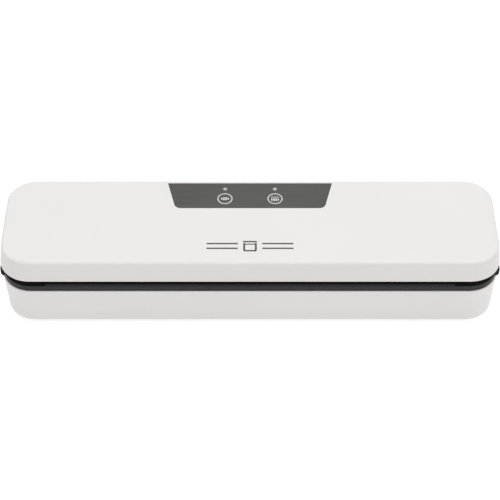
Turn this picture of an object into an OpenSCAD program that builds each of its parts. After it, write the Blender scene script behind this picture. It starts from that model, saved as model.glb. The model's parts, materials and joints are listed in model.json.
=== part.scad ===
// Compact bag vacuum sealer: a long low base with a lid hinged along its rear edge.
// X runs along the length, -Y is the front and Z is up. The origin is on the table,
// below the middle of the body. Everything is drawn with the lid down but not latched.

/* [Overall] */
// Length over the lid's lower rim
body_l = 400; // [398:0.5:404]
// Depth front to back over the lid's lower rim
body_w = 99; // [98:0.5:101]
// Height from the table to the lid's flat top
body_h = 70.5; // [70:0.5:73]
// Plan corner radius at the lid's lower rim
corner_r = 25.5; // [24:0.5:27]

/* [Shells] */
// Wall thickness of the base shell
base_wall = 2.4; // [2.4:0.1:2.5]
// Wall thickness of the lid shell
lid_wall = 2.2; // [2:0.1:2.2]
// How far the base's side leans in from its rim to its bottom
base_draft = 1.4; // [1.2:0.1:1.6]
// How far the lid's side leans in from its rim to its top
lid_draft = 2.4; // [2.2:0.1:2.6]
// Radius of the base's bottom edge
base_fillet = 5; // [4.5:0.5:5.5]
// Radius of the lid's top edge
lid_fillet = 2.5; // [2:0.5:3.5]
// How far the base's rim sits inside the lid's rim
base_inset = 1.1; // [1.1:0.1:1.2]
// How far the deck's visible band sits inside the base's rim
band_inset = 0.8; // [0.6:0.1:1]

/* [Sealing] */
// Length of the bag lip at the front of the deck
lip_l = 326; // [310:2:330]
// Length of the heating element
element_l = 304; // [290:2:308]
// Width of each foam gasket
gasket_w = 6; // [5:0.5:6.5]
// Inner length of the vacuum channel
channel_l = 300; // [280:5:302]

/* [Panel] */
// Width of the panel at its rear edge
panel_rear_w = 135; // [132:1:138]
// Width of the panel at its front edge
panel_front_w = 121; // [118:0.5:123]
// Distance between the middles of the two keys
key_pitch = 40.8; // [36:0.4:44]
// Radius of each key's cap
key_r = 5.2; // [4.6:0.1:5.6]

/* [Latches] */
// Width of each release button
button_w = 13; // [12:0.5:13]
// Height of each release button
button_h = 9; // [8:0.5:9]
// Wire diameter of the latch springs
spring_wire = 0.7; // [0.5:0.1:0.8]

/* [Hidden] */
$fn = 64;
eps = 0.01;

// Heights
base_z = 1;
floor_z = base_z + base_wall;
base_rim_z = 38.9;
deck_z = 44.2;
deck_under_z = deck_z - 2.4;
lip_z = 45.8;
lid_rim_z = 51.2;
liner_z = 52.6;
liner_top_z = 54.8;
lid_under_z = body_h - lid_wall;
rim_chamfer = 0.5;
inner_fillet = 2;

// Plan outlines
base_l = body_l - 2 * base_inset;
base_w = body_w - 2 * base_inset;
base_r = corner_r - base_inset;
band_l = base_l - 2 * band_inset;
band_w = base_w - 2 * band_inset;
band_r = base_r - band_inset;
skirt_gap = 0.4;
skirt_l = base_l - 2 * (base_wall + skirt_gap);
skirt_w = base_w - 2 * (base_wall + skirt_gap);
skirt_r = base_r - base_wall - skirt_gap;
skirt_wall = 1.8;
liner_gap = 0.6;
liner_l = body_l - 2 * (lid_wall + liner_gap);
liner_w = body_w - 2 * (lid_wall + liner_gap);
liner_r = corner_r - lid_wall - liner_gap;

// Vacuum channel and gaskets
channel_y0 = -20;
channel_y1 = 12;
channel_floor_z = 36.6;
channel_wall = 2;
channel_r = 6;
channel_mid_y = (channel_y0 + channel_y1) / 2;
channel_w = channel_y1 - channel_y0;
loop_l = 326;
loop_w = 52;
loop_r = 12;
loop_mid_y = channel_mid_y;
gasket_fit = 0.2;
groove_depth = 2;
lower_gasket_top_z = 48.2;
upper_gasket_low_z = 48.5;

// Sealing bar
bar_y = -37;
bar_w = 7.6;
bar_top_z = 45.3;
slot_w = 8.4;
slot_l = 330;
slot_floor_z = 40.2;
bar_l = 315.2;
strip_low_z = 46.1;
carrier_low_z = 50.4;
carrier_l = 314;

// Collar on the deck and the skirt of the liner that overlaps it, open at the front
collar_l = 372;
collar_w = 81.2;
collar_top_z = 48;
skirt_ring_l = 377.2;
skirt_ring_w = 86;
skirt_ring_low_z = 47.4;
collar_wall = 1.5;
collar_r = 14;

// Hinge
hinge_y = 45.9;
hinge_z = 45;
hinge_x = 125;
hinge_r = 3.4;
pin_r = 1.5;
pin_play = 0.05;
knuckle_w = 14;
ear_w = 5;
ear_gap = 0.4;
pocket_r = 4.4;

// Latches
latch_x = 181;
latch_y = -22;
button_y = -24;
button_face_x = 200.4;
button_low_z = 37.6;
button_gap = 0.6;
slide_low_z = 38.9;
slide_top_z = 41.4;
spring_r = 2.4;
spring_z = 36.2;
spring_turns = 6;

// Panel and keys
panel_front_y = 14.3;
panel_rear_y = 43.6;
panel_corner_r = 5.5;
panel_steps = 12;
panel_depth = 0.9;
panel_z = body_h - 0.1;
key_y = 25.4;
key_xs = [-key_pitch / 2, key_pitch / 2];
lamp_y = 36.8;
lamp_r = 1.4;
board_z = 58;
board_top_z = 59.6;

// Pump
pump_y = 26;
pump_z = 18;
motor_r = 12.2;
motor_x0 = -107;
motor_x1 = -75;
crank_x0 = -70.5;
crank_x1 = -50;
crank_throw = 1.6;
crank_top_z = 32;

// Ports, valve and board
port_y = -4;
intake_x = -20;
vent_x = 14;
board_low_z = 8;
main_board_z = board_low_z + 1.6;
wire_r = 0.9;
inlet_x = 120;
inlet_z = 20;
inlet_face_y = 48.3;

// Fasteners and feet
base_screw_xy = [for (x = [-140, 0, 140], y = [-36, 36]) [x, y]];
foot_xy = [for (x = [-166, 166], y = [-26, 26]) [x, y]];
foot_r = 7;
foot_top_z = 2;
boss_split_z = 22;
lid_screw_xy = [[-172, 32], [172, 32], [-172, -40], [172, -40], [-70, 34], [70, 34]];
board_screw_xy = [for (x = [-38, 38], y = [16, 40]) [x, y]];

// ---------- Shared shapes ----------

// Half section of a tub wall: x is measured outwards from the rim's outline, the open
// rim is at z_rim and the closed end, with a rounded edge, is at z_end.
module tub_profile(reach, z_rim, z_end, draft, fillet, chamfer = 0) {
    way = sign(z_end - z_rim);
    h = abs(z_end - z_rim);
    lean = atan(draft / h);
    rise = h - fillet;
    cx = -draft * rise / h - fillet / cos(lean);
    polygon([
        [-reach, z_rim],
        [-chamfer - eps, z_rim],
        [-draft * (chamfer + eps) / h, z_rim + way * (chamfer + eps)],
        [cx + fillet * cos(lean), z_rim + way * (rise + fillet * sin(lean))],
        [cx, z_end],
        [-reach, z_end]
    ]);
    translate([cx, z_rim + way * rise]) circle(fillet);
}

// Solid with a rounded-rectangle plan whose side follows the profile given as a child
module loaf(l, w, r, z0, z1) {
    for (turn = [0, 180]) {
        rotate([0, 0, turn]) {
            translate([l / 2 - r, w / 2 - r, 0])
                rotate_extrude(angle = 90) translate([r, 0]) children();
            translate([r - l / 2, w / 2 - r, 0]) rotate([0, 0, 90])
                rotate_extrude(angle = 90) translate([r, 0]) children();
            translate([l / 2 - r, 0, 0]) rotate([90, 0, 0])
                linear_extrude(w - 2 * r, center = true) translate([r, 0]) children();
            translate([0, w / 2 - r, 0]) rotate([0, 0, 90]) rotate([90, 0, 0])
                linear_extrude(l - 2 * r, center = true) translate([r, 0]) children();
        }
    }
    translate([0, 0, (z0 + z1) / 2]) cube([l - 2 * r, w - 2 * r, z1 - z0], center = true);
}

module rounded_rect(l, w, r) {
    square([l - 2 * r, w], center = true);
    square([l, w - 2 * r], center = true);
    for (sx = [-1, 1], sy = [-1, 1])
        translate([sx * (l / 2 - r), sy * (w / 2 - r)]) circle(r);
}

module slab(l, w, r, z0, z1, y = 0) {
    translate([0, y, z0]) linear_extrude(z1 - z0) rounded_rect(l, w, r);
}

module loop(l, w, r, wall, z0, z1, y = 0) {
    translate([0, y, z0]) linear_extrude(z1 - z0) difference() {
        rounded_rect(l, w, r);
        rounded_rect(l - 2 * wall, w - 2 * wall, r - wall);
    }
}

module block(x0, x1, y0, y1, z0, z1) {
    translate([x0, y0, z0]) cube([x1 - x0, y1 - y0, z1 - z0]);
}

// Bar along X whose YZ section is a rectangle with rounded corners
module soft_block(x0, x1, y0, y1, z0, z1, r) {
    translate([x0, (y0 + y1) / 2, (z0 + z1) / 2]) rotate([90, 0, 90])
        linear_extrude(x1 - x0) rounded_rect(y1 - y0, z1 - z0, r);
}

module rod_x(x0, x1, y, z, r) {
    translate([x0, y, z]) rotate([0, 90, 0]) cylinder(h = x1 - x0, r = r);
}

module rod_y(y0, y1, x, z, r) {
    translate([x, y1, z]) rotate([90, 0, 0]) cylinder(h = y1 - y0, r = r);
}

module rod_z(z0, z1, x, y, r) {
    translate([x, y, z0]) cylinder(h = z1 - z0, r = r);
}

module both_ends() {
    children();
    mirror([1, 0, 0]) children();
}

// Round run through a list of points, with ball joints at its bends
module run(points, r) {
    for (i = [1 : len(points) - 1]) {
        step = points[i] - points[i - 1];
        length = norm(step);
        translate(points[i - 1])
            rotate([0, acos(step.z / length), atan2(step.y, step.x)]) cylinder(h = length, r = r);
    }
    for (i = [1 : 1 : len(points) - 2]) translate(points[i]) sphere(r);
}

// Flexible round tube of eight sides swept along the points, its bends softened
module swept_tube(points, r) {
    sides = 8;
    function soften(p, times) = times == 0 ? p : soften([
        p[0],
        for (i = [0 : len(p) - 2]) each [p[i] * 0.75 + p[i + 1] * 0.25, p[i] * 0.25 + p[i + 1] * 0.75],
        p[len(p) - 1]
    ], times - 1);
    path = soften(points, 2);
    count = len(path);
    function unit(v) = v / norm(v);
    function heading(i) = unit(path[min(i + 1, count - 1)] - path[max(i - 1, 0)]);
    function ring(i) =
        let (u = unit(cross(heading(i), [0.13, 0.21, 0.97])), v = cross(u, heading(i)))
            [for (j = [0 : sides - 1]) path[i] + r * (u * cos(360 * j / sides) + v * sin(360 * j / sides))];
    tube_solid([for (i = [0 : count - 1]) ring(i)]);
}

// Closed solid through a list of rings, each a list of the same number of points
module tube_solid(rings) {
    sides = len(rings[0]);
    last = (len(rings) - 1) * sides;
    function at(i, j) = i * sides + j % sides;
    skin = [for (i = [0 : len(rings) - 2], j = [0 : sides - 1], half = [0, 1])
        half == 0 ? [at(i, j), at(i, j + 1), at(i + 1, j + 1)]
                  : [at(i, j), at(i + 1, j + 1), at(i + 1, j)]];
    caps = [[for (j = [sides - 1 : -1 : 0]) j], [for (j = [0 : sides - 1]) last + j]];
    polyhedron([for (r = rings) each r], concat(skin, caps));
}

// Collar wall along the ends and the rear: the front stays open for the bag
module open_loop(l, w, z0, z1) {
    difference() {
        loop(l, w, collar_r, collar_wall, z0, z1);
        block(-slot_l / 2 - 2, slot_l / 2 + 2, -w, -w / 4, z0 - 1, z1 + 1);
    }
}

// Screw standing head down: the head's face is at z, the tip is length above it
module screw(x, y, z, length, shank_r, head_r, head_h) {
    difference() {
        union() {
            rod_z(z, z + head_h, x, y, head_r);
            rod_z(z + head_h - eps, z + length, x, y, shank_r);
        }
        translate([x, y, z - 1])
            for (a = [0, 90])
                rotate([0, 0, a])
                    translate([-head_r * 0.6, -0.35, 0]) cube([head_r * 1.2, 0.7, 1 + head_h / 2]);
    }
}

// Helical spring along X as one swept tube of six sides
module coil_spring(x0, x1, y, z, r, wire, turns) {
    sides = 6;
    steps = turns * 14;
    lift = (x1 - x0 - wire) / steps;
    function ring_point(i, j) =
        let (a = 360 * i * turns / steps, b = 360 * j / sides, d = r + wire / 2 * cos(b))
            [x0 + wire / 2 + lift * i + wire / 2 * sin(b), y + d * cos(a), z + d * sin(a)];
    tube_solid([for (i = [0 : steps]) [for (j = [0 : sides - 1]) ring_point(i, j)]]);
}

// Panel outline: a trapezoid with rounded front corners, drawn larger by grow
module panel_outline(grow) {
    rear = panel_rear_w / 2 + grow;
    front = panel_front_w / 2 + grow;
    y0 = panel_front_y - grow;
    y1 = panel_rear_y + grow;
    r = panel_corner_r + grow;
    side = [rear - front, y1 - y0] / norm([rear - front, y1 - y0]);
    tangent = r / tan(acos(-side.x) / 2);
    sweep = 90 - atan2(side.x, side.y);
    corner = [for (i = [0 : panel_steps]) let (turn = sweep * i / panel_steps - 90)
        [front - tangent + r * cos(turn), y0 + r + r * sin(turn)]];
    mirrored = [for (i = [panel_steps : -1 : 0]) [-corner[i].x, corner[i].y]];
    polygon(concat([[-rear, y1]], mirrored, corner, [[rear, y1]]));
}

// ---------- Base ----------

module base_shell() {
    inner_l = base_l - 2 * base_wall;
    inner_w = base_w - 2 * base_wall;
    inner_r = base_r - base_wall;
    over_z = base_rim_z + 1;
    head_pocket_z = 3;
    vents = 9;
    vent_pitch = 7;
    color([0.87, 0.86, 0.85]) difference() {
        union() {
            difference() {
                loaf(base_l, base_w, base_r, base_z, base_rim_z)
                    tub_profile(base_r, base_rim_z, base_z, base_draft, base_fillet, rim_chamfer);
                loaf(inner_l, inner_w, inner_r, floor_z, over_z)
                    tub_profile(inner_r, over_z, floor_z, base_draft, inner_fillet);
            }
            for (p = base_screw_xy) rod_z(floor_z - 1, boss_split_z, p.x, p.y, 4);
            for (x = [38, 100], y = [-30, 18]) rod_z(floor_z - 1, board_low_z, x, y, 2.6);
        }
        for (p = base_screw_xy) {
            rod_z(base_z - 1, boss_split_z + 1, p.x, p.y, 1.7);
            rod_z(base_z - 1, head_pocket_z + base_z, p.x, p.y, 3.4);
        }
        for (p = foot_xy) rod_z(base_z - 1, foot_top_z, p.x, p.y, foot_r + 0.2);
        for (i = [0 : vents - 1]) {
            x = -98 + i * vent_pitch;
            block(x, x + 2, -22, -6, base_z - 1, floor_z + 1);
        }
        block(inlet_x - 11.2, inlet_x + 11.2, 40, body_w, inlet_z - 7.2, inlet_z + 7.2);
        both_ends() block(190, body_l / 2, button_y - button_w / 2 - button_gap,
            button_y + button_w / 2 + button_gap, button_low_z - button_gap, base_rim_z + 1);
    }
}

module deck() {
    ear_x = hinge_x - knuckle_w / 2 - ear_gap - ear_w;
    ear_step = knuckle_w + 2 * ear_gap + ear_w;
    lip_y = -band_w / 2;
    void_l = skirt_l - 2 * skirt_wall;
    void_w = skirt_w - 2 * skirt_wall;
    void_r = skirt_r - skirt_wall;
    groove_l = loop_l + 2 * gasket_fit;
    groove_w = loop_w + 2 * gasket_fit;
    groove_r = loop_r + gasket_fit;
    color([0.2, 0.2, 0.2]) difference() {
        union() {
            difference() {
                union() {
                    slab(band_l, band_w, band_r, base_rim_z, deck_z);
                    slab(skirt_l, skirt_w, skirt_r, 34, base_rim_z + 1);
                }
                slab(void_l, void_w, void_r, 33, deck_under_z);
            }
            // Gasket groove and heater slot hang below the plate
            loop(groove_l + 3, groove_w + 3, groove_r + 1.5, gasket_w + 2 * gasket_fit + 3,
                40.4, deck_z - 1, loop_mid_y);
            block(-slot_l / 2 - 1.6, slot_l / 2 + 1.6, bar_y - slot_w / 2 - 1.6,
                bar_y + slot_w / 2 + 1.6, slot_floor_z - 1.8, deck_z - 1);
            // Bag lip along the front
            translate([-lip_l / 2, 0, 0]) rotate([90, 0, 90]) linear_extrude(lip_l) polygon([
                [lip_y + 0.2, deck_z - 1], [lip_y + 0.2, lip_z - 0.7], [lip_y + 0.9, lip_z],
                [lip_y + 3, lip_z], [lip_y + 3.4, deck_z - 1]
            ]);
            open_loop(collar_l, collar_w, deck_z - 1, collar_top_z);
            // Rear wall that closes the view through the hinge gap
            block(-150, 150, 37, 39, deck_z - 1, 51.2);
            both_ends() {
                block(hinge_x - 9, hinge_x + 9, hinge_y - 6, skirt_w / 2 - 0.5, 38.8, deck_z - 1);
                for (i = [0, 1]) translate([ear_x + i * ear_step, 0, 0]) {
                    rod_x(0, ear_w, hinge_y, hinge_z, hinge_r);
                    block(0, ear_w, hinge_y - hinge_r, hinge_y + 1.6, deck_z - 1, hinge_z);
                }
            }
            for (p = base_screw_xy) rod_z(boss_split_z + 0.2, deck_under_z + 1, p.x, p.y, 3.8);
        }
        slab(channel_l, channel_w, channel_r, deck_under_z - 1, deck_z + 1, channel_mid_y);
        loop(groove_l, groove_w, groove_r, gasket_w + 2 * gasket_fit,
            deck_z - groove_depth, deck_z + 1, loop_mid_y);
        block(-slot_l / 2, slot_l / 2, bar_y - slot_w / 2, bar_y + slot_w / 2,
            slot_floor_z, deck_z + 1);
        for (p = base_screw_xy) rod_z(boss_split_z - 1, slot_floor_z - 2.6, p.x, p.y, 1.25);
        both_ends() {
            rod_x(hinge_x - 20, hinge_x + 20, hinge_y, hinge_z, pin_r);
            rod_x(hinge_x - knuckle_w / 2 - ear_gap, hinge_x + knuckle_w / 2 + ear_gap,
                hinge_y, hinge_z, pocket_r);
            block(hinge_x - knuckle_w / 2 - ear_gap, hinge_x + knuckle_w / 2 + ear_gap,
                hinge_y, body_w / 2 + 1, hinge_z - pocket_r, hinge_z + pocket_r);
            block(latch_x - 4.8, latch_x + 2.6, latch_y - 6, latch_y + 6, 40, deck_z + 1);
            block(189, body_l / 2, button_y - button_w / 2 - button_gap,
                button_y + button_w / 2 + button_gap, button_low_z - button_gap, deck_z + 1);
            rod_z(slot_floor_z - 3, slot_floor_z + 1, 161, bar_y, 1.6);
            block(164, 166.5, -8, -4, 40, deck_z + 1);
        }
    }
}

// Lower half of the vacuum channel, welded under the deck's plate
module channel_pan() {
    color([0.2, 0.2, 0.2]) difference() {
        slab(channel_l + 2 * channel_wall, channel_w + 2 * channel_wall, channel_r + channel_wall,
            channel_floor_z - channel_wall, deck_under_z, channel_mid_y);
        slab(channel_l, channel_w, channel_r, channel_floor_z, deck_z, channel_mid_y);
        for (x = [intake_x, vent_x]) rod_z(30, channel_floor_z + 1, x, port_y, 3.6);
    }
}

module drip_tray() {
    tray_l = channel_l - 2;
    tray_w = channel_w - 2;
    tray_wall = 1.2;
    tray_z = channel_floor_z + 0.2;
    color([0.36, 0.36, 0.37]) difference() {
        union() {
            difference() {
                slab(tray_l, tray_w, channel_r - 1, tray_z, deck_z - 0.6, channel_mid_y);
                slab(tray_l - 2 * tray_wall, tray_w - 2 * tray_wall, channel_r - 1 - tray_wall,
                    tray_z + tray_wall, deck_z + 1, channel_mid_y);
            }
            for (x = [intake_x, vent_x]) rod_z(tray_z + 0.2, 41, x, port_y, 7);
            // Finger tab at each end and low ribs across the floor
            both_ends() {
                block(tray_l / 2 - 9, tray_l / 2 - 7.6, -10, 2, tray_z + 0.5, deck_z - 1.5);
                for (x = [40 : 20 : 120]) block(x, x + 1.2, -16, 8, tray_z + 0.5, tray_z + 2.2);
            }
        }
        for (x = [intake_x, vent_x]) rod_z(30, deck_z, x, port_y, 5.6);
    }
}

module lower_gasket() {
    color([0.13, 0.13, 0.14])
        loop(loop_l, loop_w, loop_r, gasket_w, deck_z - groove_depth, lower_gasket_top_z, loop_mid_y);
}

module heater_bar() {
    color([0.23, 0.16, 0.12])
        soft_block(-bar_l / 2, bar_l / 2, bar_y - bar_w / 2, bar_y + bar_w / 2,
            slot_floor_z, bar_top_z, 0.8);
}

module heating_element() {
    color([0.72, 0.7, 0.66])
        block(-element_l / 2, element_l / 2, bar_y - 1.3, bar_y + 1.3, bar_top_z, bar_top_z + 0.15);
}

module seal_tape() {
    tape_l = element_l + 6;
    color([0.62, 0.5, 0.33])
        block(-tape_l / 2, tape_l / 2, bar_y - 3.2, bar_y + 3.2, bar_top_z + 0.16, bar_top_z + 0.4);
}

module heater_terminals() {
    color([0.75, 0.73, 0.68]) both_ends() difference() {
        union() {
            block(158.2, 163.6, bar_y - 2.4, bar_y + 2.4, slot_floor_z, 43.4);
            rod_z(37, slot_floor_z + eps, 161, bar_y, 1.3);
            rod_z(43.4 - eps, 44.3, 161, bar_y, 1.9);
        }
        block(159, 163, bar_y - 0.25, bar_y + 0.25, 43.9, 45);
    }
}

module hinge_pins() {
    half = knuckle_w / 2 + ear_gap + ear_w;
    color([0.7, 0.7, 0.72]) both_ends()
        rod_x(hinge_x - half, hinge_x + half, hinge_y, hinge_z, pin_r);
}

module feet() {
    color([0.1, 0.1, 0.1]) for (p = foot_xy) {
        rod_z(0.4, foot_top_z, p.x, p.y, foot_r);
        translate([p.x, p.y, 0]) cylinder(h = 0.4, r1 = foot_r - 0.5, r2 = foot_r);
    }
}

module base_screws() {
    color([0.62, 0.62, 0.64])
        for (p = base_screw_xy) screw(p.x, p.y, 2.2, 32, 1.25, 2.9, 1.8);
}

module latch_guides() {
    color([0.24, 0.24, 0.25]) both_ends() {
        for (s = [-1, 1]) translate([0, latch_y, 0]) {
            block(158, 188, s > 0 ? 7.3 : -9, s > 0 ? 9 : -7.3, 36.9, 40.2);
            block(167, 188, s > 0 ? 7.3 : -9, s > 0 ? 9 : -7.3, 40.1, deck_under_z);
            block(158, 188, s > 0 ? 5.4 : -7.4, s > 0 ? 7.4 : -5.4, 36.9, slide_low_z - 0.15);
        }
        block(158, 160, latch_y - 9, latch_y + 9, 32, 40.2);
        rod_x(160 - eps, 163, latch_y, spring_z, 1.7);
    }
}

// Release button: a cap with a stepped, grooved face, its stem over the latch catch
module release_button() {
    cap_x = 196.6;
    mid_z = button_low_z + button_h / 2;
    color([0.05, 0.05, 0.05]) difference() {
        union() {
            translate([0, button_y, mid_z]) rotate([90, 0, 90]) {
                translate([0, 0, cap_x]) linear_extrude(button_face_x - 1.2 - cap_x)
                    rounded_rect(button_w, button_h, 1.8);
                translate([0, 0, cap_x]) linear_extrude(button_face_x - 0.5 - cap_x)
                    rounded_rect(button_w - 1, button_h - 1, 1.5);
                translate([0, 0, cap_x]) linear_extrude(button_face_x - cap_x)
                    rounded_rect(button_w - 2.2, button_h - 2.2, 1.2);
            }
            block(191.6, 197, latch_y - 4.5, latch_y + 4.5, slide_low_z, 44.8);
        }
        for (i = [-1, 0, 1])
            block(button_face_x - 0.35, button_face_x + 1, button_y - 4, button_y + 4,
                mid_z + i * 2 - 0.35, mid_z + i * 2 + 0.35);
    }
}

module latch_catch() {
    color([0.32, 0.32, 0.33]) difference() {
        union() {
            block(170.4, 191.6, latch_y - 7, latch_y + 7, slide_low_z, slide_top_z);
            block(170.4, 173, latch_y - 4, latch_y + 4, 33.2, slide_low_z + eps);
            rod_x(168.4, 170.5, latch_y, spring_z, 1.7);
        }
        block(178.5, 185.6, latch_y - 5.2, latch_y + 5.2, slide_low_z - 1, slide_top_z + 1);
        block(176, 179, latch_y - 5.2, latch_y + 5.2, slide_low_z - 1, slide_top_z - 1);
    }
}

module latch_spring() {
    color([0.7, 0.7, 0.72])
        coil_spring(160.05, 170.35, latch_y, spring_z, spring_r, spring_wire, spring_turns);
}

module inlet_housing() {
    color([0.12, 0.12, 0.12]) difference() {
        union() {
            block(inlet_x - 11, inlet_x + 11, 32, inlet_face_y, inlet_z - 7, inlet_z + 7);
            block(inlet_x - 13.5, inlet_x + 13.5, 43.2, 44.8, inlet_z - 9, inlet_z + 9);
        }
        translate([inlet_x, inlet_face_y + 1, inlet_z]) rotate([90, 0, 0]) linear_extrude(13) {
            for (s = [-1, 1]) translate([4.3 * s, 0]) circle(4.4);
            square([8.6, 8.8], center = true);
        }
        for (s = [-1, 1]) rod_y(30, inlet_face_y, inlet_x + 4.3 * s, inlet_z, 1.2);
    }
}

module inlet_pins() {
    color([0.8, 0.74, 0.5]) for (s = [-1, 1]) {
        rod_y(29, inlet_face_y - 2, inlet_x + 4.3 * s, inlet_z, 1.2);
        translate([inlet_x + 4.3 * s, inlet_face_y - 2, inlet_z]) rotate([-90, 0, 0])
            cylinder(h = 0.8, r1 = 1.2, r2 = 0.6);
    }
}

module power_board() {
    color([0.1, 0.32, 0.2]) difference() {
        block(34, 104, -34, 22, board_low_z, main_board_z);
        for (x = [38, 100], y = [-30, 18]) rod_z(0, 20, x, y, 1.4);
    }
}

module transformer() {
    color([0.42, 0.42, 0.44]) {
        block(44, 74, -22, -14, main_board_z, 33);
        block(44, 74, 4, 12, main_board_z, 33);
        block(44, 74, -14 - eps, 4 + eps, main_board_z, 15);
        block(44, 74, -14 - eps, 4 + eps, 27, 33);
        soft_block(41, 77, -13.8, 3.8, 15.2, 26.8, 2);
    }
}

module relay() {
    color([0.1, 0.22, 0.45]) difference() {
        soft_block(80, 99, -28, -12.5, main_board_z, 25, 0.6);
        block(84, 95, -25, -15.5, 24.6, 26);
    }
}

module capacitors() {
    color([0.16, 0.16, 0.2]) for (c = [[84, -2, 5, 20], [94, 0, 3.2, 12], [86, 12, 4, 15]]) {
        rod_z(main_board_z, main_board_z + c[3], c.x, c.y, c.z);
        rod_z(main_board_z + c[3] - eps, main_board_z + c[3] + 0.3, c.x, c.y, c.z - 0.8);
    }
}

module board_connectors() {
    color([0.9, 0.9, 0.86]) for (c = [[96, 11, 5], [36, -26, 5], [36, 6, 4]]) difference() {
        block(c.x, c.x + 5, c.y - c.z, c.y + c.z, main_board_z, main_board_z + 7);
        block(c.x + 1, c.x + 4, c.y - c.z + 1, c.y + c.z - 1, main_board_z + 3, main_board_z + 8);
    }
}

module pump_motor() {
    color([0.68, 0.68, 0.7]) {
        difference() {
            rod_x(motor_x0, motor_x1, pump_y, pump_z, motor_r);
            for (s = [-1, 1])
                block(motor_x0 - 1, motor_x1 - 4, pump_y - motor_r, pump_y + motor_r,
                    pump_z + (s > 0 ? motor_r - 1 : -motor_r - 1),
                    pump_z + (s > 0 ? motor_r + 1 : 1 - motor_r));
        }
        rod_x(motor_x0 - 1.6, motor_x0 + eps, pump_y, pump_z, motor_r - 1.6);
        rod_x(motor_x0 - 3.6, motor_x0 - 1.5, pump_y, pump_z, 3.4);
        rod_x(motor_x1 - eps, motor_x1 + 2, pump_y, pump_z, 4);
        for (s = [-1, 1])
            block(motor_x0 - 4.4, motor_x0 - 1.5, pump_y + 6 * s - 1.2, pump_y + 6 * s + 1.2,
                pump_z - 0.3, pump_z + 0.3);
    }
}

module pump_bracket() {
    color([0.74, 0.74, 0.75]) difference() {
        union() {
            block(-75, crank_x0, pump_y - 13, pump_y + 13, floor_z, 32);
            block(-104, -74, pump_y - 13, pump_y + 13, floor_z, floor_z + 1.6);
        }
        block(-73.6, crank_x0 + 1, pump_y - 14, pump_y + 14, floor_z + 1.6, 33);
        rod_x(-76, -70, pump_y, pump_z, 4.2);
        for (s = [-1, 1]) rod_x(-76, -70, pump_y + 8 * s, pump_z, 1.2);
        for (s = [-1, 1]) rod_z(0, 6, -90, pump_y + 9 * s, 1.5);
    }
}

module pump_crankcase() {
    color([0.85, 0.85, 0.82]) difference() {
        union() {
            block(-73.4, crank_x1, pump_y - 13, pump_y + 13, floor_z + 1.8, crank_top_z);
            rod_x(crank_x1 - eps, crank_x1 + 2, pump_y, pump_z, 3.4);
        }
        rod_x(-74, crank_x1 - 2.5, pump_y, pump_z, 10);
        rod_x(crank_x1 - 4, crank_x1 + 1, pump_y, pump_z, 1.2);
        rod_z(pump_z, crank_top_z + 1, -61, pump_y, 6);
    }
}

module pump_diaphragm() {
    color([0.12, 0.12, 0.13]) {
        rod_z(crank_top_z, crank_top_z + 1.2, -61, pump_y, 10);
        rod_z(27, crank_top_z + eps, -61, pump_y, 2);
    }
}

module pump_cover() {
    low_z = crank_top_z + 1.2;
    color([0.85, 0.85, 0.82]) difference() {
        union() {
            block(-73, crank_x1, pump_y - 10, pump_y + 10, low_z, 38.4);
            for (s = [-1, 1]) rod_x(crank_x1 - eps, -42, pump_y + 5 * s, 35.8, 1.8);
            for (sx = [-71, -52], sy = [-8, 8]) rod_z(38.3, 39, sx, pump_y + sy, 1.4);
        }
        for (s = [-1, 1]) {
            rod_x(-56, -40, pump_y + 5 * s, 35.8, 1);
            rod_z(low_z - 1, 36, -55, pump_y + 5 * s, 1);
        }
    }
}

module pump_rotor() {
    color([0.6, 0.6, 0.62]) {
        rod_x(-72.8, crank_x1 + 0.5, pump_y, pump_z, 1.15);
        rod_x(-67, -55, pump_y + crank_throw, pump_z, 6);
        rod_x(-69, -67 + eps, pump_y, pump_z, 3);
    }
}

module vacuum_ports() {
    color([0.3, 0.3, 0.31]) for (x = [intake_x, vent_x]) difference() {
        union() {
            rod_z(34.6, 41.8, x, port_y, 3.5);
            rod_z(channel_floor_z, channel_floor_z + 1, x, port_y, 5.2);
            rod_z(33.2, channel_floor_z - channel_wall, x, port_y, 5.2);
            rod_z(28, 34.7, x, port_y, 1.8);
        }
        rod_z(27, 43, x, port_y, 1);
    }
}

module vacuum_hose() {
    path = [[intake_x, port_y, 32.6], [intake_x, port_y, 26], [intake_x, 21, 26],
        [intake_x, 21, 35.8], [crank_x1 + 1, 21, 35.8]];
    bore = concat([[intake_x, port_y, 33.6]], [for (i = [1 : 3]) path[i]],
        [[crank_x1 - 1, 21, 35.8]]);
    color([0.55, 0.55, 0.56]) difference() {
        run(path, 2.9);
        run(bore, 1.85);
    }
}

module exhaust_muffler() {
    color([0.2, 0.2, 0.21]) difference() {
        rod_x(-47, -33, pump_y + 5, 35.8, 3.4);
        rod_x(-48, -41.8, pump_y + 5, 35.8, 1.85);
        rod_x(-36, -32, pump_y + 5, 35.8, 1.2);
    }
}

module valve_body() {
    color([0.85, 0.85, 0.82]) difference() {
        union() {
            rod_z(23.6, 27.5, vent_x, port_y, 7.5);
            rod_z(27.4, 31.5, vent_x, port_y, 2.8);
            rod_x(vent_x + 7, vent_x + 12, port_y, 25.5, 1.8);
        }
        rod_z(25.5, 32.5, vent_x, port_y, 1.85);
        rod_x(vent_x, vent_x + 13, port_y, 25.5, 1);
        rod_z(23, 26, vent_x, port_y, 2.6);
    }
}

module valve_frame() {
    color([0.72, 0.72, 0.74]) difference() {
        union() {
            block(vent_x - 9, vent_x + 9, port_y - 9, port_y + 9, 8, 9.4);
            block(vent_x - 9, vent_x + 9, port_y - 9, port_y + 9, 22.2, 23.6);
            block(vent_x - 10.4, vent_x - 8.99, port_y - 9, port_y + 9, floor_z, 23.6);
        }
        rod_z(7, 25, vent_x, port_y, 2.65);
    }
}

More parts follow.
